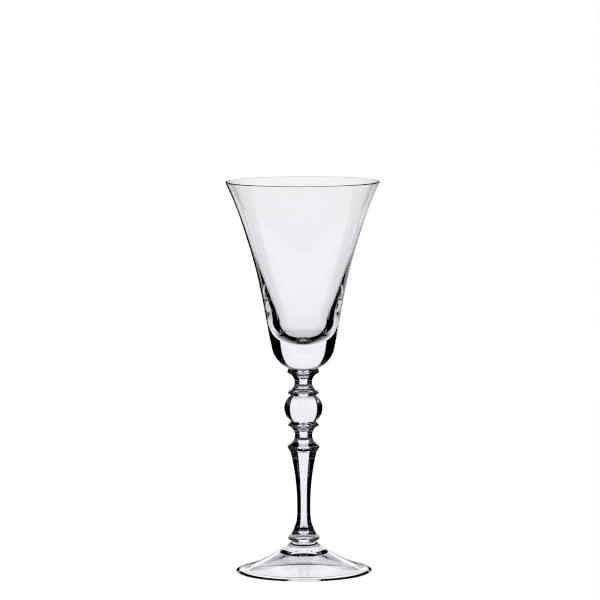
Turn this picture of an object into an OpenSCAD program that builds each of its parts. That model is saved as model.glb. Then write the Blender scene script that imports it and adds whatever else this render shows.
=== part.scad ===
// White wine glass: a flared bowl and a low foot on a six-sided stem that a round ball knop divides.
// Sizes are in millimetres, +Z is up, and the origin is on the table at the middle of the foot.
// One flat of the stem faces +X and another faces -X, so one of its corners looks along -Y.

/* [Heights] */
// Height of the whole glass, from the table to the rim
glass_h = 208; // [200:1:220]
// Height of the foot, up to the crease under the stem
foot_h = 16.6; // [15:0.1:19]
// Length of the long lower stem, from the foot to the ball knop
baluster_h = 64.2; // [58:0.1:72]
// Height of the ball knop between its two creases
ball_h = 13.6; // [12:0.1:15]
// Length of the short upper stem, from the ball knop to the bowl
spool_h = 14.3; // [13:0.1:16]

/* [Bowl] */
// Outer diameter of the rim
rim_d = 81.6; // [76:0.2:88]
// Thickness of the melted lip at the rim
lip_t = 0.9; // [0.7:0.1:1.4]
// Outer diameter where the flare turns out towards the rim
flare_d = 61.8; // [60:0.2:64]
// Outer diameter where the wall is steepest and its flare begins
waist_d = 41.9; // [40:0.1:44]
// Outer diameter where the rounded base meets the wall
base_d = 33.4; // [32:0.2:36]
// Outer diameter of the neck of glass that joins the collar
bowl_weld_d = 15.6; // [15:0.2:16.4]
// Thickness of the solid glass under the hollow
base_t = 13.4; // [11:0.1:15]
// Diameter of the hollow where its round bottom begins
hollow_d = 23.6; // [22:0.2:26]

/* [Stem] */
// Width across the flats of the collar under the bowl
collar_w = 17; // [16.6:0.1:18]
// Width across the flats of the rings above and below the ball knop
ring_w = 16.3; // [15.6:0.1:17]
// Width across the flats of the shoulder at the top of the long lower stem
shoulder_w = 17; // [16:0.1:18]
// Width across the flats of the ring at the bottom of the long lower stem
base_ring_w = 16.6; // [16:0.1:17.4]
// Width across the flats of the two short necks
neck_w = 9.2; // [8:0.1:10.5]
// Width across the flats at the thinnest place of the long lower stem
shaft_w = 7; // [6:0.1:8.5]
// Diameter of the round creases beside the ball knop and above the foot
crease_d = 13.2; // [12.4:0.1:14]
// Diameter of the ball knop
ball_d = 20.5; // [19:0.1:22]
// Rounding of the six corners, as a share of the half-width
corner_share = 0.12; // [0.06:0.01:0.3]

/* [Foot] */
// Diameter of the foot
foot_d = 72; // [66:0.5:78]
// Thickness of the rounded edge of the foot
foot_edge_t = 2.4; // [2:0.1:3]
// Width of the flat ring that the glass stands on
contact_w = 3; // [2:0.5:5]
// Height of the hollow under the foot
foot_hollow = 9; // [7:0.1:10]
// Diameter of the flat ceiling of the hollow under the foot
ceiling_d = 22; // [18:0.5:24]

/* [Hidden] */

// Turn of an arc that one straight step stands for, and the fewest steps of a gentle arc
step_turn = 8;
fewest_steps = 4;
// Fewest points round a true circle
$fn = 96;
glass_colour = [0.86, 0.86, 0.91, 0.6];

// Heights of the creases where one member is fused to the next
foot_top = foot_h;
ball_bottom = foot_top + baluster_h;
ball_top = ball_bottom + ball_h;
bowl_bottom = ball_top + spool_h;

crease_r = crease_d / 2;
bowl_weld_r = bowl_weld_d / 2;

// Heights and half-widths on the bowl
lip_r = lip_t / 2;
lip_middle = [rim_d / 2 - lip_r, glass_h - lip_r];
base_end = [base_d / 2, bowl_bottom + 11];
wall_middle = [19, bowl_bottom + 23.3];
waist = [waist_d / 2, bowl_bottom + 34];
flare_middle = [25.5, bowl_bottom + 55];
flare_end = [flare_d / 2, bowl_bottom + 73.3];
hollow_high = [25.1, bowl_bottom + 58];
hollow_middle = [17.7, bowl_bottom + 37];
hollow_low = [13.8, bowl_bottom + 27];
hollow_turn = [hollow_d / 2, bowl_bottom + 21.3];
hollow_end = [9.9, bowl_bottom + 18.1];
hollow_floor = [0, bowl_bottom + base_t];

// How far the rounded base of the bowl leaves its chord, and the leans of the wall at the lip
base_bow = 1.76;
rim_lean = 26;
mouth_lean = 24;

// Half-width where a ring ends and a neck begins, and the rounded tip of a ring
neck_end = 6.5;
tip_in = 0.2;
tip_half = 0.4;

// Heights of the rings above or below the crease beside them
ring_gap = 0.3;
ring_tip_h = 1.8;
ring_h = 3.1;
collar_tip_h = 1.3;
collar_h = 2.95;
base_tip_h = 1.95;
base_ring_h = 3.7;
shoulder_top_h = 11.4;
shoulder_tip_h = 13.5;
shoulder_h = 16.2;

// Half-widths where the shoulder ends above and below, and the straight slim length of the shaft
shoulder_high_r = 6.1;
shoulder_low_r = 6.9;
slim_bottom = foot_top + 15.5;
slim_top = foot_top + 19;

// Half-widths and heights on the foot, and how far its curves leave their chords
foot_r = foot_d / 2;
hub_end = [11.6, foot_top - 4.2];
edge_start = [foot_r - 3.7, foot_edge_t + 0.3];
edge_middle = [foot_r, foot_edge_t / 2];
contact_outer = foot_r - 1.2;
contact_inner = contact_outer - contact_w;
ceiling_end = [ceiling_d / 2, foot_hollow - 0.6];
hub_bow = 0.35;
cone_bow = 1;
edge_bow = -0.3;
under_bow = -0.4;
ceiling_bow = 0.3;

// Height by which the six corners have come out of a round crease, and the roundest section
corner_blend = 1.2;
round_share = 0.94;

// Points of an arc from p to q that bulges by rise to the right of the way, without the last one
function bow(p, q, rise) =
    let (
        way = q - p,
        heading = atan2(way[1], way[0]),
        turn = 2 * atan(2 * rise / norm(way)),
        steps = rise == 0 ? 1 : max(fewest_steps, ceil(abs(2 * turn) / step_turn))
    )
    [for (i = [0 : steps - 1])
        let (t = i / steps, look = heading - turn * (1 - t))
        rise == 0 ? p + t * way : p + norm(way) * sin(turn * t) / sin(turn) * [cos(look), sin(look)]];

// Points of a smooth curve from p to q that leans by a at p and by b at q, without the last one
function ease(p, q, a, b) =
    let (
        way = q - p,
        turn = abs(b - a) / 2,
        pull = norm(way) * (way[1] < 0 ? -1 : 1) * (turn == 0 ? 1 : 2 * tan(turn / 2) / sin(turn)),
        steps = max(2, ceil(2 * turn / step_turn))
    )
    [for (i = [0 : steps - 1])
        let (t = i / steps)
        p + (3 - 2 * t) * t * t * way
            + pull * (t * (1 - t) * (1 - t) * [sin(a), cos(a)] - t * t * (1 - t) * [sin(b), cos(b)])];

// Outline through stops that give a point, the rise of the arc to the next one, and the lean on smooth curves
function outline(stops) = [
    for (i = [0 : len(stops) - 2])
        let (a = stops[i], b = stops[i + 1])
        each a[1] == 0 && is_num(a[2]) && is_num(b[2]) ? ease(a[0], b[0], a[2], b[2]) : bow(a[0], b[0], a[1]),
    stops[len(stops) - 1][0]
];

// Rise of an arc that reaches the half-width reach midway between the points p and q of an upright way
function rise_to(p, q, reach) = reach - (p[0] + q[0]) / 2;

// Rise of an arc from p to q that ends or starts upright, so that it runs on smoothly
function rise_upright(p, q) =
    let (way = q - p, lean = atan2(way[0], way[1]))
    -abs(norm(way) / 2 * tan(lean / 2));

// Stops of a ring with straight flanks, from its lower end over its rounded tip
function ring(low, tip) = [
    [low, 0],
    [tip - [tip_in, tip_half], tip_in],
    [tip + [-tip_in, tip_half], 0]
];

// Share of the half-width that rounds the corners at a height, all round at the creases a and b
function corner_at(z, a, b) =
    let (out = min(1, min(z - a, b - z) / corner_blend))
    round_share + (corner_share - round_share) * sin(90 * out);

// Points round a six-sided section with round corners, from its half-width and height
function six_sided(half_w, z, share) =
    let (corner_r = half_w * share, reach = (half_w - corner_r) / cos(30))
    [for (corner = [0 : 5], bend = [-30, 0, 30])
        let (at = 30 + 60 * corner)
        [reach * cos(at) + corner_r * cos(at + bend), reach * sin(at) + corner_r * sin(at + bend), z]];

// Solid through a list of rings of points, from the lowest ring to the highest
module loft(rings) {
    n = len(rings[0]);
    last = (len(rings) - 1) * n;
    sides = [for (i = [0 : len(rings) - 2], j = [0 : n - 1])
        let (a = i * n + j, b = i * n + (j + 1) % n)
        each [[a, a + n, b + n], [a, b + n, b]]];
    polyhedron(
        points = [for (ring = rings) each ring],
        faces = concat([[for (j = [0 : n - 1]) j]], sides, [[for (j = [n - 1 : -1 : 0]) last + j]]),
        convexity = 6);
}

// Six-sided member turned to an outline, round where it meets the creases at its two ends
module six_sided_turning(profile) {
    low = profile[0][1];
    high = profile[len(profile) - 1][1];
    loft([for (p = profile) six_sided(p[0], p[1], corner_at(p[1], low, high))]);
}

// Flared bowl with a thin wall, a melted lip and a thick solid base
module bowl() {
    lip_side = lip_r * [cos(rim_lean), -sin(rim_lean)];
    color(glass_colour)
        rotate_extrude()
            polygon(outline([
                [[0, bowl_bottom], 0],
                [[bowl_weld_r, bowl_bottom], base_bow],
                [base_end, 0, 11.5],
                [wall_middle, 0, 10],
                [waist, 0, 10.6],
                [flare_middle, 0, 14.6],
                [flare_end, 0, 17.2],
                [lip_middle + lip_side, lip_r, rim_lean],
                [lip_middle - lip_side, 0, mouth_lean],
                [hollow_high, 0, 18.8],
                [hollow_middle, 0, 20.2],
                [hollow_low, 0, 20.8],
                [hollow_turn, 0, 25],
                [hollow_end, 0, 41],
                [hollow_floor, 0, 90]]));
}

// Short upper stem: a ring, a narrow neck and the collar under the bowl
module upper_spool() {
    ring_low = [crease_r, ball_top + ring_gap];
    ring_high = [neck_end, ball_top + ring_h];
    collar_low = [neck_end, bowl_bottom - collar_h];
    color(glass_colour)
        six_sided_turning(outline([
            [[crease_r, ball_top], 0],
            each ring(ring_low, [ring_w / 2, ball_top + ring_tip_h]),
            [ring_high, rise_to(ring_high, collar_low, neck_w / 2)],
            each ring(collar_low, [collar_w / 2, bowl_bottom - collar_tip_h]),
            [[bowl_weld_r, bowl_bottom], 0]]));
}

// Round ball knop between the two rings
module ball_knop() {
    low = [crease_r, ball_bottom];
    high = [crease_r, ball_top];
    color(glass_colour)
        rotate_extrude()
            polygon(concat(
                [[0, ball_bottom]],
                outline([[low, rise_to(low, high, ball_d / 2)], [high, 0]]),
                [[0, ball_top]]));
}

// Long lower stem: a ring at the foot, a slim shaft, a shoulder, a neck and the ring under the ball knop
module baluster() {
    base_low = [crease_r, foot_top + ring_gap];
    base_high = [neck_end, foot_top + base_ring_h];
    slim_low = [shaft_w / 2, slim_bottom];
    slim_high = [shaft_w / 2, slim_top];
    shoulder_low = [shoulder_low_r, ball_bottom - shoulder_h];
    shoulder_high = [shoulder_high_r, ball_bottom - shoulder_top_h];
    ring_low = [neck_end, ball_bottom - ring_h];
    color(glass_colour)
        six_sided_turning(outline([
            [[crease_r, foot_top], 0],
            each ring(base_low, [base_ring_w / 2, foot_top + base_tip_h]),
            [base_high, rise_upright(base_high, slim_low)],
            [slim_low, 0],
            [slim_high, rise_upright(slim_high, shoulder_low)],
            each ring(shoulder_low, [shoulder_w / 2, ball_bottom - shoulder_tip_h]),
            [shoulder_high, rise_to(shoulder_high, ring_low, neck_w / 2)],
            each ring(ring_low, [ring_w / 2, ball_bottom - ring_tip_h]),
            [[crease_r, ball_bottom - ring_gap], 0],
            [[crease_r, ball_bottom], 0]]));
}

// Low cone of a foot with a rounded edge, a flat ring to stand on and a hollow underneath
module foot() {
    color(glass_colour)
        rotate_extrude()
            polygon(outline([
                [[0, foot_top], 0],
                [[crease_r, foot_top], hub_bow],
                [hub_end, cone_bow],
                [edge_start, edge_bow],
                [edge_middle, edge_bow],
                [[contact_outer, 0], 0],
                [[contact_inner, 0], under_bow],
                [ceiling_end, ceiling_bow],
                [[0, foot_hollow], 0]]));
}

bowl();
upper_spool();
ball_knop();
baluster();
foot();
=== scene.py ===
"""White wine glass: clear-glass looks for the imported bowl, stem and foot.

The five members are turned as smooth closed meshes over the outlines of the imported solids. Outlines are written in
millimetres and meshes are made in metres, +Z up, with the foot on the table. A flat of the six-sided stem faces +X, so
one of its corners looks along -Y, where the camera stands.
"""

import logging
import math
from abc import ABC, abstractmethod
from dataclasses import dataclass, replace
from enum import Enum
from typing import Callable, ClassVar, Union

import bpy
import numpy as np
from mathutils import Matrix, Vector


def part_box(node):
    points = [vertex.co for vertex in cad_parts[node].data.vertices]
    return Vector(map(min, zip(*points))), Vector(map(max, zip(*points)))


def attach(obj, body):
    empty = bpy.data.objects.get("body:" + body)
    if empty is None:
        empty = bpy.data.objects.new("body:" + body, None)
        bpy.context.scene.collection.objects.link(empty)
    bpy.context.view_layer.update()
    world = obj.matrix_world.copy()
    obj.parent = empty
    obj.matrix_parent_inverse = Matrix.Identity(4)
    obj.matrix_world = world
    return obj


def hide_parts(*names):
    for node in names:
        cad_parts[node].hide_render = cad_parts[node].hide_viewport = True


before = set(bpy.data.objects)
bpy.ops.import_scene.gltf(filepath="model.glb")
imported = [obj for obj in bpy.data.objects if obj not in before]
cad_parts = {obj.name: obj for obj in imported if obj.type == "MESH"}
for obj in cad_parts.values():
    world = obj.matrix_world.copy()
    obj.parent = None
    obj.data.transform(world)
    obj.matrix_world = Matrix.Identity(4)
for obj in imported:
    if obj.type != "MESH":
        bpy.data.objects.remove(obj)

log = logging.getLogger("wine_glass")

MM = 0.001
BODY = "root"

Colour = tuple[float, float, float]
Point = tuple[float, float, float]
Value = Union["Wire", float]

WHITE: Colour = (1.0, 1.0, 1.0)
DARK: Colour = (0.0, 0.0, 0.0)


class Wire:
    """A shader socket that takes part in Python expressions: each operation on it adds one Math node."""

    def __init__(self, board: "Board", socket: bpy.types.NodeSocket) -> None:
        """Wraps a socket of the board's tree."""
        self.board = board
        self.socket = socket

    def math(self, operation: str, *others: Value) -> "Wire":
        """Adds a Math node that takes this wire first.

        Args:
            operation: Blender's name for the operation.
            others: the values of its other inputs.

        Returns:
            The node's result.
        """
        return self.board.math(operation, self, *others)

    def __add__(self, other: Value) -> "Wire":
        """Sum."""
        return self.math("ADD", other)

    __radd__ = __add__

    def __mul__(self, other: Value) -> "Wire":
        """Product."""
        return self.math("MULTIPLY", other)

    __rmul__ = __mul__

    def __sub__(self, other: Value) -> "Wire":
        """Difference."""
        return self.math("SUBTRACT", other)

    def __rsub__(self, other: Value) -> "Wire":
        """Difference from a number, so that 1 - mask works."""
        return self.board.math("SUBTRACT", other, self)

    def __truediv__(self, other: Value) -> "Wire":
        """Quotient."""
        return self.math("DIVIDE", other)

    def __or__(self, other: Value) -> "Wire":
        """The larger of two masks."""
        return self.math("MAXIMUM", other)

    def __and__(self, other: Value) -> "Wire":
        """The smaller of two masks."""
        return self.math("MINIMUM", other)

    def __abs__(self) -> "Wire":
        """Size without the sign."""
        return self.math("ABSOLUTE")

    def below(self, edge: float, soft: float) -> "Wire":
        """Mask of where the wire is below an edge.

        Args:
            edge: the value at which the mask is one half.
            soft: the width of the slope from 1 to 0.

        Returns:
            The mask, from 0 to 1.
        """
        return ((edge - self) / soft + 0.5) & 1.0 | 0.0

    def at_least(self, count: int) -> "Wire":
        """Mask of where a wire that counts has reached a count."""
        return self.math("GREATER_THAN", count - 0.5)

    def at_most(self, count: int) -> "Wire":
        """Mask of where a wire that counts hasn't passed a count."""
        return self.math("LESS_THAN", count + 0.5)


class Board:
    """Adds nodes to one material's or world's tree."""

    def __init__(self, owner: Union[bpy.types.Material, bpy.types.World]) -> None:
        """Clears the owner's tree."""
        owner.use_nodes = True
        self.tree = owner.node_tree
        self.tree.nodes.clear()

    def add(self, kind: str, settings: dict | None = None, sockets: dict | None = None) -> bpy.types.Node:
        """Adds a node.

        Args:
            kind: Blender's type name without its ShaderNode prefix.
            settings: properties of the node, which are set first.
            sockets: input values or wires, by socket name or number.

        Returns:
            The new node.
        """
        node = self.tree.nodes.new("ShaderNode" + kind)
        for name, value in (settings or {}).items():
            setattr(node, name, value)
        for key, value in (sockets or {}).items():
            if isinstance(value, Wire):
                self.tree.links.new(value.socket, node.inputs[key])
            elif isinstance(value, tuple) and len(value) == 3 and node.inputs[key].type == "RGBA":
                node.inputs[key].default_value = (*value, 1.0)
            else:
                node.inputs[key].default_value = value
        return node

    def wire(self, kind: str, output: str | int = 0, settings: dict | None = None, sockets: dict | None = None) -> Wire:
        """Adds a node as add does.

        Args:
            kind: Blender's type name without its ShaderNode prefix.
            output: the output's name or number.
            settings: properties of the node.
            sockets: input values or wires.

        Returns:
            One of the node's outputs.
        """
        return Wire(self, self.add(kind, settings, sockets).outputs[output])

    def math(self, operation: str, *values: Value) -> Wire:
        """Adds a Math node of the given operation over the values."""
        return self.wire("Math", 0, {"operation": operation}, dict(enumerate(values)))

    def axes(self, vector: Wire) -> tuple[Wire, Wire, Wire]:
        """Splits a vector into its three numbers."""
        node = self.add("SeparateXYZ", sockets={0: vector})
        return tuple(Wire(self, output) for output in node.outputs)

    def blend(self, share: Value, first: Wire | Colour, second: Wire | Colour) -> Wire:
        """Mixes two colours by a share from 0 to 1."""
        return self.wire("Mix", 2, {"data_type": "RGBA"}, {0: share, 6: first, 7: second})

    def shade(self, share: Value, first: Wire, second: Wire) -> Wire:
        """Mixes two shaders by a share from 0 to 1."""
        return self.wire("MixShader", sockets={0: share, 1: first, 2: second})

    def show(self, kind: str, shader: Wire) -> None:
        """Links a shader to the tree's output of the given kind."""
        self.add("Output" + kind, sockets={0: shader})


@dataclass(frozen=True)
class ClearGlass:
    """Fire-polished glass with a faint lavender cast that deepens where the glass is thick."""

    thin_tint: Colour = (1.0, 0.997, 1.0)
    wall_tint: Colour = (0.985, 0.983, 0.99)
    deep_tint: Colour = (0.95, 0.942, 0.972)
    wall_high: float = 165 * MM
    wall_soft: float = 50 * MM
    ior: float = 1.52
    smear: float = 0.006
    smear_size: float = 9.0 * MM
    smear_detail: float = 3.0

    def make(self, name: str, deep_below: float, soft: float) -> bpy.types.Material:
        """Makes the material of one member.

        Args:
            name: the material's name.
            deep_below: height in millimetres below which the glass is thick.
            soft: height in millimetres over which it grows thick.

        Returns:
            The material.
        """
        material = bpy.data.materials.new(name)
        board = Board(material)
        place = board.wire("NewGeometry", "Position")
        height = board.axes(place)[2]
        deep = height.below(deep_below * MM, soft * MM)
        low = height.below(self.wall_high, self.wall_soft)
        smears = board.wire(
            "TexNoise", sockets={"Vector": place, "Scale": 1 / self.smear_size, "Detail": self.smear_detail})
        glass = board.wire("BsdfPrincipled", sockets={
            "Base Color": board.blend(deep, board.blend(low, self.thin_tint, self.wall_tint), self.deep_tint),
            "Roughness": smears * self.smear,
            "IOR": self.ior,
            "Transmission Weight": 1.0,
        })
        board.show("Material", glass)
        return material


@dataclass(frozen=True)
class WeldFace:
    """The hidden face where one member is fused to the next, which light passes as if it weren't there."""

    def make(self) -> bpy.types.Material:
        """Makes the material."""
        material = bpy.data.materials.new("weld_face")
        board = Board(material)
        board.show("Material", board.wire("BsdfPrincipled", sockets={"Alpha": 0.0}))
        return material


@dataclass(frozen=True)
class Stop:
    """A corner of an outline, in millimetres.

    The stretch to the next stop is an arc that leaves its chord by bow, to the right of the way. If bow is 0 it is a
    line, or a smooth curve between two stops that both give their lean, in degrees from upright.
    """

    half_width: float
    height: float
    bow: float = 0.0
    lean: float | None = None

    def along(self, way: np.ndarray) -> np.ndarray:
        """Unit vector of the stop's lean that points with the way."""
        lean = math.radians(self.lean)
        unit = np.array((math.sin(lean), math.cos(lean)))
        return unit if unit @ way > 0 else -unit

    def bow_to(self, other: "Stop", reach: float) -> "Stop":
        """This stop with an arc to another stop that reaches a half-width midway."""
        return Stop(self.half_width, self.height, reach - (self.half_width + other.half_width) / 2)

    def bow_upright(self, other: "Stop") -> "Stop":
        """This stop with an arc to another stop that is upright at the slimmer of the two."""
        way = (other.half_width - self.half_width, other.height - self.height)
        lean = math.atan2(*way)
        return Stop(self.half_width, self.height, -abs(math.hypot(*way) / 2 * math.tan(lean / 2)))


@dataclass(frozen=True)
class Outline:
    """Half the outline of a member, from the axis at its bottom round to the axis again."""

    stops: tuple[Stop, ...]
    spacing: float

    STEP_TURN: ClassVar[float] = math.radians(4)
    LEAST_TURN: ClassVar[float] = 0.01

    def stretch(self, start: Stop, end: Stop) -> np.ndarray:
        """Points of the stretch between two stops.

        Args:
            start: the first stop, whose bow shapes the stretch.
            end: the next stop, which is left out.

        Returns:
            Half-widths and heights in millimetres, one row per point.
        """
        first = np.array((start.half_width, start.height))
        way = np.array((end.half_width, end.height)) - first
        length = float(np.hypot(*way))
        smooth = start.bow == 0 and start.lean is not None and end.lean is not None
        if smooth:
            leave, arrive = start.along(way), end.along(way)
            turn = math.acos(min(1.0, float(leave @ arrive))) / 2
        else:
            turn = 2 * math.atan(2 * start.bow / length)
        steps = max(1, math.ceil(length / self.spacing), math.ceil(abs(2 * turn) / self.STEP_TURN))
        share = np.arange(steps) / steps
        if smooth:
            pull = length * (2 * math.tan(turn / 2) / math.sin(turn) if turn > self.LEAST_TURN else 1.0)
            t = share[:, None]
            return (first + (3 - 2 * t) * t ** 2 * way
                    + pull * (t * (1 - t) ** 2 * leave - t ** 2 * (1 - t) * arrive))
        if start.bow == 0:
            return first + share[:, None] * way
        look = math.atan2(way[1], way[0]) - turn * (1 - share)
        reach = length * np.sin(turn * share) / math.sin(turn)
        return first + reach[:, None] * np.column_stack((np.cos(look), np.sin(look)))

    def trace(self) -> np.ndarray:
        """Points of the whole outline but its two ends on the axis, in metres, one row per point."""
        inner = self.stops[1:-1]
        parts = [self.stretch(a, b) for a, b in zip(inner, inner[1:])]
        last = inner[-1]
        if last.height == self.stops[-1].height and last.bow == 0:
            parts.append(np.array([(last.half_width, last.height)]))
        else:
            parts.append(self.stretch(last, self.stops[-1]))
        return np.vstack(parts) * MM


class Section(Enum):
    """Shape of a member seen from above."""

    ROUND = "round"
    SIX_SIDED = "six-sided"


@dataclass(frozen=True)
class Creases:
    """Heights of the creases between the members, and the rim, in millimetres."""

    foot_top: float
    ball_bottom: float
    ball_top: float
    bowl_bottom: float
    rim: float

    @classmethod
    def from_frame(cls) -> "Creases":
        """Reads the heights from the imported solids."""
        foot, ball, bowl = (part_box(node) for node in ("foot", "ball_knop", "bowl"))
        return cls(*(corner.z / MM for corner in (foot[1], ball[0], ball[1], bowl[0], bowl[1])))


@dataclass
class Member(ABC):
    """One of the five members that are fused into the glass."""

    creases: Creases

    NODE: ClassVar[str]
    SECTION: ClassVar[Section] = Section.ROUND
    WELD_BELOW: ClassVar[bool] = True
    WELD_ABOVE: ClassVar[bool] = True
    SPACING: ClassVar[float] = 0.25
    ROUND_POINTS: ClassVar[int] = 160
    SIDES: ClassVar[int] = 6
    CORNER_POINTS: ClassVar[int] = 9
    FLAT_POINTS: ClassVar[int] = 9
    CORNER_SHARE: ClassVar[float] = 0.12
    ROUND_SHARE: ClassVar[float] = 0.94
    CORNER_BLEND: ClassVar[float] = 1.2 * MM
    CREASE_ANGLE: ClassVar[float] = math.radians(60)

    crease_r: float = 6.6
    neck_end: float = 6.5
    neck_r: float = 4.6
    tip_in: float = 0.2
    tip_half: float = 0.4
    ring_gap: float = 0.3
    ring_r: float = 8.15
    ring_tip: float = 1.8
    ring_h: float = 3.1
    deep_soft: float = 1.0

    @abstractmethod
    def outline(self) -> Outline:
        """The member's outline, in millimetres."""

    def deep_below(self) -> float:
        """Height in millimetres below which the glass is thick, which is all of a member but the bowl."""
        return self.creases.rim

    def finish(self) -> bpy.types.Material:
        """The member's glass."""
        return ClearGlass().make(self.NODE + "_glass", self.deep_below(), self.deep_soft)

    def ring(self, low: Stop, tip_r: float, tip_height: float) -> list[Stop]:
        """Stops of a ring with straight flanks and a rounded tip.

        Args:
            low: where the ring begins.
            tip_r: half-width at the tip.
            tip_height: height of the tip.

        Returns:
            The stops up to the upper flank.
        """
        reach = tip_r - self.tip_in
        return [
            Stop(low.half_width, low.height),
            Stop(reach, tip_height - self.tip_half, self.tip_in),
            Stop(reach, tip_height + self.tip_half),
        ]

    def corner_shares(self, heights: np.ndarray) -> np.ndarray:
        """Share of the half-width that rounds the six corners, which come out of the round creases at both ends."""
        inside = np.minimum(heights - heights[0], heights[-1] - heights) / self.CORNER_BLEND
        out = np.sin(np.pi / 2 * np.clip(inside, 0, 1))
        return self.ROUND_SHARE + (self.CORNER_SHARE - self.ROUND_SHARE) * out

    def rings(self, points: np.ndarray) -> np.ndarray:
        """Sections of the member.

        Args:
            points: half-widths and heights in metres.

        Returns:
            Places in metres, by section, by point round the section and by axis.
        """
        reach, heights = points[:, :1], points[:, 1:]
        if self.SECTION is Section.ROUND:
            angle = np.arange(self.ROUND_POINTS) * 2 * np.pi / self.ROUND_POINTS
            x, y = reach * np.cos(angle), reach * np.sin(angle)
        else:
            x, y = self.six_sided(reach, self.corner_shares(points[:, 1])[:, None])
        return np.stack((x, y, np.broadcast_to(heights, x.shape)), axis=2)

    def six_sided(self, reach: np.ndarray, share: np.ndarray) -> tuple[np.ndarray, np.ndarray]:
        """Round-cornered six-sided sections with flats at both ends of X.

        Args:
            reach: half-widths across the flats, as a column.
            share: shares of the half-widths that round the corners, as a column.

        Returns:
            The X and Y places, one row per section.
        """
        half = math.pi / self.SIDES
        bend = np.linspace(-half, half, self.CORNER_POINTS)
        across = np.linspace(0, 1, self.FLAT_POINTS + 2)[1:-1]
        corner_r = reach * share
        middle = (reach - corner_r) / math.cos(half)
        xs, ys = [], []
        for corner in range(self.SIDES):
            at, after = half * (2 * corner + 1), half * (2 * corner + 3)
            arc_x = middle * np.cos(at) + corner_r * np.cos(at + bend)
            arc_y = middle * np.sin(at) + corner_r * np.sin(at + bend)
            next_x = middle * np.cos(after) + corner_r * np.cos(after + bend[0])
            next_y = middle * np.sin(after) + corner_r * np.sin(after + bend[0])
            xs += [arc_x, arc_x[:, -1:] + (next_x - arc_x[:, -1:]) * across]
            ys += [arc_y, arc_y[:, -1:] + (next_y - arc_y[:, -1:]) * across]
        return np.hstack(xs), np.hstack(ys)

    def mesh(self) -> bpy.types.Mesh:
        """Turns the outline into a closed mesh, whose second material is on the weld faces."""
        outline = self.outline()
        rings = self.rings(outline.trace())
        count, around = rings.shape[:2]
        ends = [(0.0, 0.0, outline.stops[i].height * MM) for i in (0, -1)]
        vertices = np.vstack((rings.reshape(-1, 3), ends))
        low, high = count * around, count * around + 1
        here = np.arange(around)
        after = (here + 1) % around
        base = np.arange(count - 1)[:, None] * around
        sides = np.stack((base + here, base + after, base + around + after, base + around + here), axis=2)
        last = (count - 1) * around
        faces = sides.reshape(-1, 4).tolist()
        faces += [(low, b, a) for a, b in zip(here.tolist(), after.tolist())]
        faces += [(high, last + a, last + b) for a, b in zip(here.tolist(), after.tolist())]
        mesh = bpy.data.meshes.new(self.NODE)
        mesh.from_pydata(vertices.tolist(), [], faces)
        slots = np.zeros(len(faces), int)
        slots[-2 * around:-around] = self.WELD_BELOW
        slots[-around:] = self.WELD_ABOVE
        mesh.polygons.foreach_set("material_index", slots)
        mesh.shade_smooth()
        mesh.set_sharp_from_angle(angle=self.CREASE_ANGLE)
        mesh.validate()
        return mesh

    def build(self, weld: bpy.types.Material) -> bpy.types.Object:
        """Makes the member and sets it in the frame.

        Args:
            weld: the material of the weld faces.

        Returns:
            The new object.
        """
        mesh = self.mesh()
        mesh.materials.append(self.finish())
        mesh.materials.append(weld)
        piece = bpy.data.objects.new(self.NODE + "_glass", mesh)
        bpy.context.scene.collection.objects.link(piece)
        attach(piece, BODY)
        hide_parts(self.NODE)
        return piece


@dataclass
class Bowl(Member):
    """Flared bowl with a thin wall, a melted lip and a thick solid base."""

    NODE: ClassVar[str] = "bowl"
    WELD_ABOVE: ClassVar[bool] = False
    SPACING: ClassVar[float] = 0.5

    deep_soft: float = 24.0
    deep_h: float = 20.0
    weld_r: float = 7.8
    base_bow: float = 1.76
    rim_r: float = 40.8
    lip_r: float = 0.45
    rim_lean: float = 26.0
    mouth_lean: float = 24.0
    floor_h: float = 13.4
    outside: tuple[Stop, ...] = (
        Stop(16.7, 11.0, lean=11.5),
        Stop(19.0, 23.3, lean=10.0),
        Stop(20.95, 34.0, lean=10.6),
        Stop(25.5, 55.0, lean=14.6),
        Stop(30.9, 73.3, lean=17.2),
    )
    inside: tuple[Stop, ...] = (
        Stop(25.1, 58.0, lean=18.8),
        Stop(17.7, 37.0, lean=20.2),
        Stop(13.8, 27.0, lean=20.8),
        Stop(11.8, 21.3, lean=25.0),
        Stop(9.9, 18.1, lean=41.0),
    )

    def outline(self) -> Outline:
        """Up outside, over the lip and down inside."""
        bottom = self.creases.bowl_bottom
        lip = (self.rim_r - self.lip_r, self.creases.rim - self.lip_r)
        lean = math.radians(self.rim_lean)
        side = (self.lip_r * math.cos(lean), self.lip_r * math.sin(lean))
        outside, inside = (
            [replace(stop, height=bottom + stop.height) for stop in stops] for stops in (self.outside, self.inside))
        return Outline((
            Stop(0, bottom),
            Stop(self.weld_r, bottom, self.base_bow),
            *outside,
            Stop(lip[0] + side[0], lip[1] - side[1], self.lip_r, self.rim_lean),
            Stop(lip[0] - side[0], lip[1] + side[1], 0, self.mouth_lean),
            *inside,
            Stop(0, bottom + self.floor_h, lean=90.0)), self.SPACING)

    def deep_below(self) -> float:
        """The bowl's glass is thick in the base and thin in the wall."""
        return self.creases.bowl_bottom + self.deep_h


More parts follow.
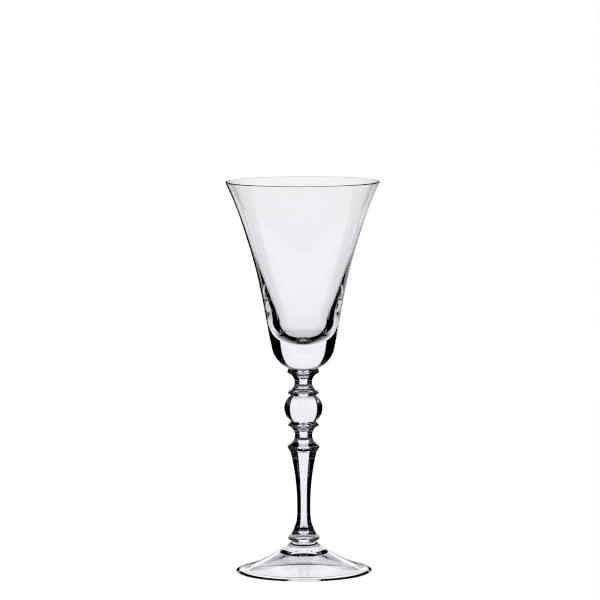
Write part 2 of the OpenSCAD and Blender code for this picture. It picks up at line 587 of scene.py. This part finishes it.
@dataclass
class UpperSpool(Member):
    """Short upper stem: a ring, a narrow neck and the collar under the bowl."""

    NODE: ClassVar[str] = "upper_spool"
    SECTION: ClassVar[Section] = Section.SIX_SIDED

    collar_r: float = 8.5
    collar_tip: float = 1.3
    collar_h: float = 2.95
    weld_r: float = 7.8

    def outline(self) -> Outline:
        """From the ball knop up to the bowl."""
        low, high = self.creases.ball_top, self.creases.bowl_bottom
        ring_high = Stop(self.neck_end, low + self.ring_h)
        collar_low = Stop(self.neck_end, high - self.collar_h)
        return Outline((
            Stop(0, low),
            Stop(self.crease_r, low),
            *self.ring(Stop(self.crease_r, low + self.ring_gap), self.ring_r, low + self.ring_tip),
            ring_high.bow_to(collar_low, self.neck_r),
            *self.ring(collar_low, self.collar_r, high - self.collar_tip),
            Stop(self.weld_r, high),
            Stop(0, high)), self.SPACING)


@dataclass
class BallKnop(Member):
    """Round ball knop between the two rings."""

    NODE: ClassVar[str] = "ball_knop"

    ball_r: float = 10.25

    def outline(self) -> Outline:
        """From crease to crease."""
        low, high = Stop(self.crease_r, self.creases.ball_bottom), Stop(self.crease_r, self.creases.ball_top)
        return Outline((
            Stop(0, low.height),
            low.bow_to(high, self.ball_r),
            high,
            Stop(0, high.height)), self.SPACING)


@dataclass
class Baluster(Member):
    """Long lower stem: a ring at the foot, a slim flared shaft, a shoulder, a neck and the ring under the ball knop."""

    NODE: ClassVar[str] = "baluster"
    SECTION: ClassVar[Section] = Section.SIX_SIDED

    base_ring_r: float = 8.3
    base_tip: float = 1.95
    base_ring_h: float = 3.7
    shaft_r: float = 3.5
    slim_low: float = 15.5
    slim_high: float = 19.0
    shoulder_r: float = 8.5
    shoulder_low_r: float = 6.9
    shoulder_high_r: float = 6.1
    shoulder_low: float = 16.2
    shoulder_tip: float = 13.5
    shoulder_high: float = 11.4

    def outline(self) -> Outline:
        """From the foot up to the ball knop."""
        low, high = self.creases.foot_top, self.creases.ball_bottom
        base_high = Stop(self.neck_end, low + self.base_ring_h)
        slim_low, slim_high = Stop(self.shaft_r, low + self.slim_low), Stop(self.shaft_r, low + self.slim_high)
        shoulder_low = Stop(self.shoulder_low_r, high - self.shoulder_low)
        shoulder_high = Stop(self.shoulder_high_r, high - self.shoulder_high)
        ring_low = Stop(self.neck_end, high - self.ring_h)
        return Outline((
            Stop(0, low),
            Stop(self.crease_r, low),
            *self.ring(Stop(self.crease_r, low + self.ring_gap), self.base_ring_r, low + self.base_tip),
            base_high.bow_upright(slim_low),
            slim_low,
            slim_high.bow_upright(shoulder_low),
            *self.ring(shoulder_low, self.shoulder_r, high - self.shoulder_tip),
            shoulder_high.bow_to(ring_low, self.neck_r),
            *self.ring(ring_low, self.ring_r, high - self.ring_tip),
            Stop(self.crease_r, high - self.ring_gap),
            Stop(self.crease_r, high),
            Stop(0, high)), self.SPACING)


@dataclass
class Foot(Member):
    """Low cone of a foot with a rounded edge, a ring to stand on and a hollow underneath."""

    NODE: ClassVar[str] = "foot"
    WELD_BELOW: ClassVar[bool] = False
    SPACING: ClassVar[float] = 0.4

    foot_r: float = 36.0
    edge_t: float = 2.4
    edge_in: float = 3.7
    edge_up: float = 0.3
    contact_in: float = 1.2
    contact_w: float = 3.0
    hollow_h: float = 9.0
    hollow_r: float = 11.0
    hollow_drop: float = 0.6
    hub_r: float = 11.6
    hub_drop: float = 4.2
    ceiling_bow: float = -0.3
    under_bow: float = 0.4
    edge_bow: float = 0.3
    cone_bow: float = -1.0
    hub_bow: float = -0.35

    def outline(self) -> Outline:
        """From the hollow out to the edge and up to the stem."""
        top = self.creases.foot_top
        contact = self.foot_r - self.contact_in
        return Outline((
            Stop(0, self.hollow_h, self.ceiling_bow),
            Stop(self.hollow_r, self.hollow_h - self.hollow_drop, self.under_bow),
            Stop(contact - self.contact_w, 0),
            Stop(contact, 0, self.edge_bow),
            Stop(self.foot_r, self.edge_t / 2, self.edge_bow),
            Stop(self.foot_r - self.edge_in, self.edge_t + self.edge_up, self.cone_bow),
            Stop(self.hub_r, top - self.hub_drop, self.hub_bow),
            Stop(self.crease_r, top),
            Stop(0, top)), self.SPACING)


@dataclass(frozen=True)
class Window:
    """A lit part of the surround, by the angles in degrees between which light comes from it.

    A paired window has a second one on the other side, like its mirror image.
    """

    left: float
    right: float
    low: float
    high: float
    soft: float = 3.0
    soft_low: float = 3.0
    soft_high: float = 3.0
    paired: bool = False

    def mask(self, aside: Wire, rise: Wire) -> Wire:
        """Mask of the window.

        Args:
            aside: angle of a direction from +Y towards +X, in radians.
            rise: angle of a direction above the horizon, in radians.

        Returns:
            The mask, from 0 to 1.
        """
        left, right, low, high, soft, soft_low, soft_high = (
            math.radians(v) for v in (
                self.left, self.right, self.low, self.high, self.soft, self.soft_low, self.soft_high))
        across = abs((abs(aside) if self.paired else aside) - (left + right) / 2).below((right - left) / 2, soft)
        return across & rise.below(high, soft_high) & (1 - rise.below(low, soft_low))


@dataclass(frozen=True)
class Studio:
    """White surround for the eye, and for the glass a lit panel behind it, lit windows and dark sheets.

    Which of them light meets depends on how often it was reflected and how many surfaces of the glass it passed.
    """

    panel: Window = Window(-34, 33.5, -37, 51, 2, 24, 16)
    panel_bounces: int = 5
    floor_edge: float = math.radians(-44.7)
    floor_soft: float = math.radians(2)
    floor: Window = Window(-42, 42, -36, -20, 10, 36, 20)
    wall_lights: tuple[tuple[int, int, Window], ...] = (
        (6, 8, Window(-40, 40, 1, 14, 4, 3, 5)), (8, 8, Window(-15, 15, 15, 32, 6, 5, 5)),
        (9, 9, Window(14, 37.5, 4, 23, 3, 4, 4, True)), (10, 10, Window(-6, 15, 2, 14, 4, 3, 5)),
        (12, 12, Window(33.5, 45, 11, 17, 3, 2, 4, True)), (13, 13, Window(69, 75.5, 15, 25, 3, 5, 5, True)),
        (14, 14, Window(55.5, 67, -3, 12, 3, 4, 4, True)), (15, 16, Window(66, 76.5, -1, 12, 4, 4, 4, True)))
    wall_glow: float = 0.8
    clear_bounces: int = 3
    clear_walls: int = 3
    # Painted shade at the bottom of the bowl's hollow: light that passes both walls is dimmed where it heads down and
    # ahead.
    clear_low: float = math.radians(-42)
    clear_soft: float = math.radians(40)
    clear_out: float = math.radians(28)
    clear_blur: float = math.radians(16)
    painted_shade_share: float = 0.57
    spare: tuple[Window, ...] = (
        Window(-48, -42, -26, -19, 2, 2, 2), Window(-124, -78, -50, 40, 4, 8, 8),
        Window(100, 181, -50, 40, 4, 8, 8), Window(-181, -145, -50, 40, 4, 8, 8), Window(-181, 181, -91, -50))
    glow: Colour = (0.985, 0.982, 1.012)
    flag_back: float = 80 * MM
    flag_gap: float = 42 * MM
    flag_reach: float = 300 * MM
    flag_low: float = 34 * MM
    flag_top: float = 212 * MM
    flag_foot: float = 20 * MM
    flag_end: float = 400 * MM
    foot_line: float = 16 * MM
    screen_out: float = 50 * MM
    screen_low: float = -200 * MM
    screen_top: float = 118 * MM
    edge_ahead: float = 1 * MM
    edge_in: float = 25 * MM
    edge_card: float = 72 * MM
    edge_out: float = 105 * MM
    edge_low: float = 112 * MM
    side_out: float = 140 * MM
    side_front: float = -150 * MM
    side_back: float = 79 * MM
    side_low: float = 105 * MM
    side_full: float = 150 * MM
    side_top: float = 260 * MM
    near_r: float = 50 * MM
    near_soft: float = 4 * MM
    near_glow: float = 0.95
    table_r: float = 0.9
    table_gap: float = 0.2 * MM
    table_glow: float = 0.965
    table_paint: float = 0.045
    contact_r: float = 33.5 * MM
    contact_up: float = 0.05 * MM
    disc_points: int = 96
    eye_back: float = 2.4
    eye_up: float = 0.365
    eye_aside: float = -0.00161
    pitch: float = math.radians(5.2352)
    roll: float = math.radians(-0.21)
    focal_px: float = 4555.0
    frame_px: float = 600.0
    sensor: float = 36.0
    pixel_blur: float = 1.1
    most_bounces: int = 64
    most_walls: int = 32
    most_sheets: int = 48

    def path(self, board: Board, *names: str) -> list[Wire]:
        """Outputs of a new Light Path node, by name."""
        node = board.add("LightPath")
        return [Wire(board, node.outputs[name]) for name in names]

    def light(self) -> None:
        """Makes the world: white to the eye, and to the glass a lit panel and a few lit windows in the dark.

        Light that was reflected a few times comes from the panel, and from the floor if it was reflected once. Light
        that was reflected more often, in the wall of the bowl, comes from the windows for its number of reflections.
        Light that passes both walls of the bowl comes from all round, so that the bowl is clear from every side, but
        it is dimmed where it heads down and ahead: a painted shade at the bottom of the bowl's hollow.
        """
        world = bpy.data.worlds.new("studio")
        board = Board(world)
        x, y, z = board.axes(board.wire("TexCoord", "Generated"))
        aside, rise = x.math("ARCTAN2", y), z.math("ARCSINE")
        camera, glossy, through, bounces, walls = self.path(
            board, "Is Camera Ray", "Is Glossy Ray", "Is Transmission Ray", "Glossy Depth", "Transmission Depth")
        straight = bounces.at_most(0)
        once = bounces.at_most(1) - straight
        panel = self.panel.mask(aside, rise) * (1 - rise.below(self.floor_edge, self.floor_soft))
        seen = panel * bounces.at_most(self.panel_bounces) | self.floor.mask(aside, rise) * once
        for least, most, window in self.wall_lights:
            some = bounces.at_least(least) * bounces.at_most(most)
            seen = seen | window.mask(aside, rise) * some * self.wall_glow
        clear = bounces.at_most(self.clear_bounces) * walls.at_least(self.clear_walls)
        # Painted shade: light that passed both walls of the bowl and heads down and ahead is dimmed, which paints the
        # soft grey shade at the bottom of the bowl's hollow.
        painted_shade = rise.below(self.clear_low, self.clear_soft) * abs(aside).below(self.clear_out, self.clear_blur)
        lit = seen * (1 - clear) | clear * (1 - painted_shade * self.painted_shade_share)
        for window in self.spare:
            lit = lit | straight * window.mask(aside, rise)
        plain = camera | (1 - (glossy | through))
        strength = plain | glossy * (1 - through) * seen | through * lit
        colour = board.blend(plain, self.glow, WHITE)
        board.show("World", board.wire("Background", sockets={"Color": colour, "Strength": strength}))
        bpy.context.scene.world = world

    def sheet(self, name: str, corners: list[Point], material: bpy.types.Material) -> bpy.types.Object:
        """Makes a flat stage object.

        Args:
            name: the object's name.
            corners: its corners in metres.
            material: its material.

        Returns:
            The new object.
        """
        mesh = bpy.data.meshes.new(name)
        mesh.from_pydata(corners, [], [tuple(range(len(corners)))])
        mesh.materials.append(material)
        piece = bpy.data.objects.new(name, mesh)
        bpy.context.scene.collection.objects.link(piece)
        return piece

    def partly(self, name: str, glow: Colour, rule: Callable[[Wire, Wire, Wire], Value]) -> bpy.types.Material:
        """Makes a material for a sheet that only some of the light from the glass meets.

        Args:
            name: the material's name.
            glow: the sheet's light, or DARK.
            rule: gives the share of the sheet that is there, from the number of reflections, the number of surfaces
                passed and the height.

        Returns:
            The material.
        """
        material = bpy.data.materials.new(name)
        board = Board(material)
        face = board.wire("Emission", sockets={"Color": glow})
        height = board.axes(board.wire("NewGeometry", "Position"))[2]
        share = rule(*self.path(board, "Glossy Depth", "Transmission Depth"), height)
        board.show("Material", board.shade(share, board.wire("BsdfTransparent"), face))
        return material

    def flags(self) -> None:
        """Sets dark flags behind the glass.

        Two stand on each side, for light that is turned back inside the glass. One stands above, for all light, and a
        low one stands behind the foot, for light that the outside of the foot reflects.
        """
        turned = self.partly(
            "flag", DARK, lambda bounces, *_: bounces.at_least(1) * bounces.at_most(self.panel_bounces))
        for name, side in (("left", -1), ("right", 1)):
            ends = ((side * self.flag_gap, self.flag_back), (side * self.flag_reach, self.flag_back))
            self.upright("flag_" + name, turned, ends, (self.flag_low, self.flag_top))
            self.upright("flag_foot_" + name, turned, ends, (0.0, self.flag_foot))
        above = self.partly("top_flag", DARK, lambda *_: 1.0)
        line = self.partly("foot_line", DARK, lambda _, walls, __: walls.at_most(0))
        for name, material, out, up in (
                ("flag_above", above, self.flag_reach, (self.flag_top, self.flag_end)),
                ("foot_line", line, self.flag_gap, (0.0, self.foot_line))):
            self.upright(name, material, ((-out, self.flag_back), (out, self.flag_back)), up)

    def screens(self) -> None:
        """Sets four dark screens round the stem, for light that is turned back after it passed a wall of the bowl."""
        screen = self.partly(
            "screen", DARK, lambda bounces, walls, _: bounces.at_least(1) * walls.at_least(self.clear_walls))
        corners = [(self.screen_out * x, self.screen_out * y) for x, y in ((-1, -1), (1, -1), (1, 1), (-1, 1))]
        for i, corner in enumerate(corners):
            self.upright("screen_%d" % i, screen, (corners[i - 1], corner), (self.screen_low, self.screen_top))

    def edges(self) -> None:
        """Sets the sheets that the outside of the bowl reflects: light on both sides, and a dark card on the left."""
        light, card = (
            self.partly(name, glow, lambda _, walls, __: walls.at_most(0))
            for name, glow in (("edge_light", self.glow), ("edge_card", DARK)))
        middle, rise = (self.side_low + self.side_full) / 2, self.side_full - self.side_low
        side = self.partly(
            "side_light", self.glow,
            lambda _, walls, height: walls.at_most(0) * (1 - height.below(middle, rise)))
        back = self.flag_back - self.edge_ahead
        for name, material, first, last in (
                ("light_left", light, -self.edge_out, -self.edge_card),
                ("card_left", card, -self.edge_card, -self.edge_in),
                ("light_right", light, self.edge_in, self.edge_out)):
            self.upright("edge_" + name, material, ((first, back), (last, back)), (self.edge_low, self.flag_top))
        for name, out in (("left", -self.side_out), ("right", self.side_out)):
            ends = ((out, self.side_front), (out, self.side_back))
            self.upright("side_" + name, side, ends, (self.side_low, self.side_top))

    def upright(self, name: str, material: bpy.types.Material, ends: tuple, up: tuple[float, float]) -> None:
        """Sets an upright sheet that only the glass sees.

        Args:
            name: the sheet's name.
            material: its material.
            ends: the X and Y of its two ends.
            up: its lower and upper edge.
        """
        corners = [(*ends[i], up[j]) for i, j in ((0, 0), (1, 0), (1, 1), (0, 1))]
        sheet = self.sheet(name, corners, material)
        sheet.visible_camera = sheet.visible_diffuse = sheet.visible_shadow = False

    def disc(self, name: str, r: float, height: float, material: bpy.types.Material) -> bpy.types.Object:
        """Sets a level round sheet that casts no shadow.

        Args:
            name: the sheet's name.
            r: its radius.
            height: its height.
            material: its material.

        Returns:
            The new object.
        """
        angles = np.arange(self.disc_points) * 2 * np.pi / self.disc_points
        disc = self.sheet(name, [(r * math.cos(a), r * math.sin(a), height) for a in angles], material)
        disc.visible_shadow = False
        return disc

    def table(self) -> None:
        """Makes the table, seamless white to the eye with a faint shadow.

        Of the light from the glass, it meets only what passed straight through near the foot, where it glows.
        """
        material = bpy.data.materials.new("table")
        board = Board(material)
        camera, through, bounces = self.path(board, "Is Camera Ray", "Is Transmission Ray", "Glossy Depth")
        x, y, _ = board.axes(board.wire("NewGeometry", "Position"))
        near = (x * x + y * y).math("SQRT").below(self.near_r, self.near_soft)
        under = board.wire("Emission", sockets={"Color": self.glow, "Strength": self.near_glow})
        unseen = board.shade(near * through * bounces.at_most(0), board.wire("BsdfTransparent"), under)
        paint = board.wire("BsdfDiffuse", sockets={"Color": (self.table_paint,) * 3})
        glow = board.wire("Emission", sockets={"Color": WHITE, "Strength": self.table_glow})
        white = board.wire("AddShader", sockets={0: paint, 1: glow})
        board.show("Material", board.shade(camera, unseen, white))
        self.disc("table", self.table_r, -self.table_gap, material)

    def contact(self) -> None:
        """Makes the lit disc at the foot of the glass, where it stands, for light that passes it without reflection."""
        glow = tuple(self.near_glow * share for share in self.glow)
        material = self.partly("contact", glow, lambda bounces, walls, _: bounces.at_most(0) * walls.at_least(1))
        self.disc("contact", self.contact_r, self.contact_up, material).visible_camera = False

    def look(self) -> None:
        """Makes the camera at the height and distance that the outline of the glass asks for."""
        lens = bpy.data.cameras.new("eye")
        lens.sensor_width = self.sensor
        lens.lens = self.sensor * self.focal_px / self.frame_px
        eye = bpy.data.objects.new("eye", lens)
        eye.location = (self.eye_aside, -self.eye_back, self.eye_up)
        eye.rotation_euler = (math.pi / 2 - self.pitch, 0, 0)
        eye.rotation_euler.rotate_axis("Z", self.roll)
        bpy.context.scene.collection.objects.link(eye)
        bpy.context.scene.camera = eye

    def render_settings(self) -> None:
        """Sets the plain view transform, and enough bounces for light to pass the whole stem."""
        scene = bpy.context.scene
        scene.view_settings.view_transform = "Standard"
        scene.cycles.filter_width = self.pixel_blur
        scene.cycles.max_bounces = scene.cycles.glossy_bounces = self.most_bounces
        scene.cycles.transmission_bounces = self.most_walls
        scene.cycles.transparent_max_bounces = self.most_sheets


def main() -> None:
    """Builds the glass, its studio and its camera, and notes the sizes."""
    logging.basicConfig(level=logging.INFO, format="%(name)s: %(message)s")
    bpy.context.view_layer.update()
    studio = Studio()
    studio.look()
    studio.render_settings()
    studio.light()
    studio.flags()
    studio.screens()
    studio.edges()
    studio.table()
    studio.contact()
    creases = Creases.from_frame()
    weld = WeldFace().make()
    for member in (Bowl, UpperSpool, BallKnop, Baluster, Foot):
        piece = member(creases).build(weld)
        log.info("%s: %d faces", piece.name, len(piece.data.polygons))


if __name__ == "__main__":
    main()
